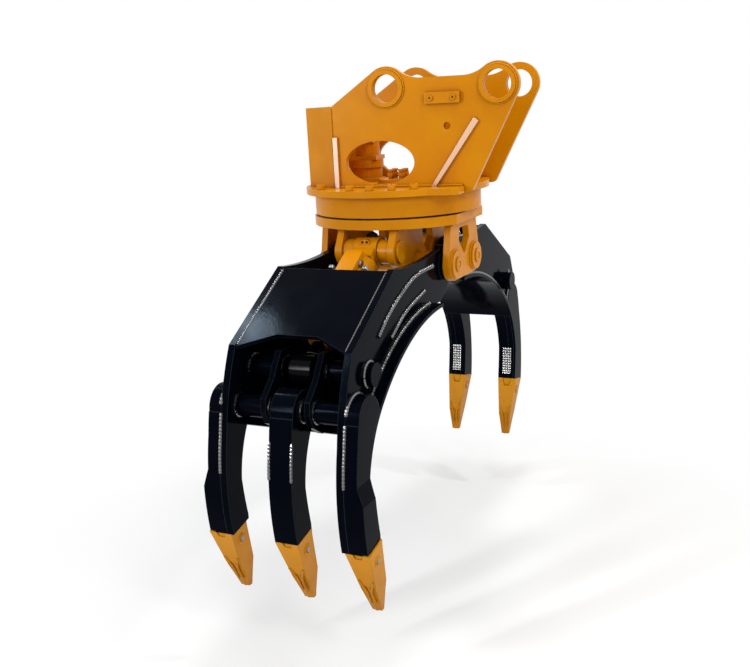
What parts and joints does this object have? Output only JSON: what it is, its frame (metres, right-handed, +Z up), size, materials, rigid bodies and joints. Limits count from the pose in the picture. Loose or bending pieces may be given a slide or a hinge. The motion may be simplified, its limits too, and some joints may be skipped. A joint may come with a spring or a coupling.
{
  "type": "log grapple",
  "caption": "Excavator log grapple with a slewing head: ear plates for the stick and link pins, a round slew drum and two opposed hydraulic jaws with curved tines and bolt-on teeth.",
  "frame": {"origin": "on the axis of the stick pin bores, midway between the two ear plates", "axes": "+Z up with the grapple standing on its tooth tips, +X along the jaws' opening direction towards the two-tine jaw, +Y along the jaw pins"},
  "size_m": [2.0427, 0.8895, 1.737],
  "materials": {
    "orange_enamel": "gloss orange-yellow enamel",
    "black_enamel": "gloss black enamel",
    "tooth_paint": "satin yellow paint on cast teeth",
    "cast_steel": "as cast",
    "machined_steel": "machined",
    "chromed_steel": "hard chrome"
  },
  "bodies": {
    "upper_frame": {"back_wall": "orange_enamel", "base_flange": "orange_enamel", "bearing_outer_ring": "machined_steel", "bearing_rollers": "machined_steel", "ear_block": "orange_enamel", "ear_collars": "orange_enamel", "ear_plate_far": "orange_enamel", "ear_plate_near": "orange_enamel", "ear_ribs": "orange_enamel", "hose_fittings": "orange_enamel", "nose_plate": "orange_enamel", "slew_gearbox": "orange_enamel", "slew_housing": "orange_enamel", "slew_motor": "orange_enamel", "socket_screws": "orange_enamel", "union_housing": "orange_enamel"},
    "slew_pinion": {"drive_pinion": "machined_steel"},
    "lower_frame": {"base_pins": "orange_enamel", "bearing_inner_ring": "machined_steel", "hanger_inner_far": "orange_enamel", "hanger_inner_near": "orange_enamel", "hanger_outer_far": "orange_enamel", "hanger_outer_near": "orange_enamel", "jaw_pins": "orange_enamel", "lower_plate": "orange_enamel", "pin_spacers": "orange_enamel", "union_core": "machined_steel"},
    "front_jaw": {"front_adapters": "cast_steel", "front_cover": "black_enamel", "front_inner_plate": "black_enamel", "front_lower_tube": "black_enamel", "front_pin_sleeves": "black_enamel", "front_ribs": "black_enamel", "front_rod_pin": "black_enamel", "front_side_far": "black_enamel", "front_side_near": "black_enamel", "front_teeth": "tooth_paint", "front_tine_far": "black_enamel", "front_tine_mid": "black_enamel", "front_tine_near": "black_enamel", "front_tooth_pins": "machined_steel"},
    "rear_jaw": {"rear_adapters": "cast_steel", "rear_cover": "black_enamel", "rear_inner_plate": "black_enamel", "rear_lower_tube": "black_enamel", "rear_pin_sleeves": "black_enamel", "rear_rod_pin": "black_enamel", "rear_side_far": "black_enamel", "rear_side_near": "black_enamel", "rear_teeth": "tooth_paint", "rear_tine_far": "black_enamel", "rear_tine_near": "black_enamel", "rear_tooth_pins": "machined_steel"},
    "front_barrel_body": {"front_cylinder_base": "orange_enamel", "front_barrel": "orange_enamel"},
    "front_rod_body": {"front_rod": "chromed_steel"},
    "rear_barrel_body": {"rear_cylinder_base": "orange_enamel", "rear_barrel": "orange_enamel"},
    "rear_rod_body": {"rear_rod": "chromed_steel"}
  },
  "joints": [
    {"name": "slew", "type": "hinge", "parent": "upper_frame", "child": "lower_frame", "pos_m": [-0.00314, 0.03586, -0.42], "axis": [0, 0, 1], "continuous": true},
    {"name": "pinion_spin", "type": "hinge", "parent": "upper_frame", "child": "slew_pinion", "pos_m": [0.07358, 0.19315, -0.42], "axis": [0, 0, 1], "continuous": true},
    {"name": "front_jaw_close", "type": "hinge", "parent": "lower_frame", "child": "front_jaw", "pos_m": [-0.10964, 0.03586, -0.6476], "axis": [0, -1, 0], "range_deg": [0, 43]},
    {"name": "rear_jaw_close", "type": "hinge", "parent": "lower_frame", "child": "rear_jaw", "pos_m": [0.10336, 0.03586, -0.6476], "axis": [0, 1, 0], "range_deg": [0, 43]},
    {"name": "front_barrel_swing", "type": "hinge", "parent": "lower_frame", "child": "front_barrel_body", "pos_m": [-0.27814, 0.03586, -0.577], "axis": [0, -1, 0], "range_deg": [0, 47.03]},
    {"name": "front_rod_slide", "type": "slide", "parent": "front_barrel_body", "child": "front_rod_body", "axis": [-0.8632, 0, -0.5048], "range_m": [0, 0.1282]},
    {"name": "rear_barrel_swing", "type": "hinge", "parent": "lower_frame", "child": "rear_barrel_body", "pos_m": [0.27186, 0.03586, -0.577], "axis": [0, 1, 0], "range_deg": [0, 47.03]},
    {"name": "rear_rod_slide", "type": "slide", "parent": "rear_barrel_body", "child": "rear_rod_body", "axis": [0.8632, 0, -0.5048], "range_m": [0, 0.1282]}
  ],
  "couplings": [
    {"joint": "pinion_spin", "follows": "slew", "ratio": 6},
    {"joint": "front_barrel_swing", "follows": "front_jaw_close", "ratio": 1.082},
    {"joint": "front_rod_slide", "follows": "front_jaw_close", "m_per_rad": 0.1695},
    {"joint": "rear_barrel_swing", "follows": "rear_jaw_close", "ratio": 1.082},
    {"joint": "rear_rod_slide", "follows": "rear_jaw_close", "m_per_rad": 0.1695}
  ]
}
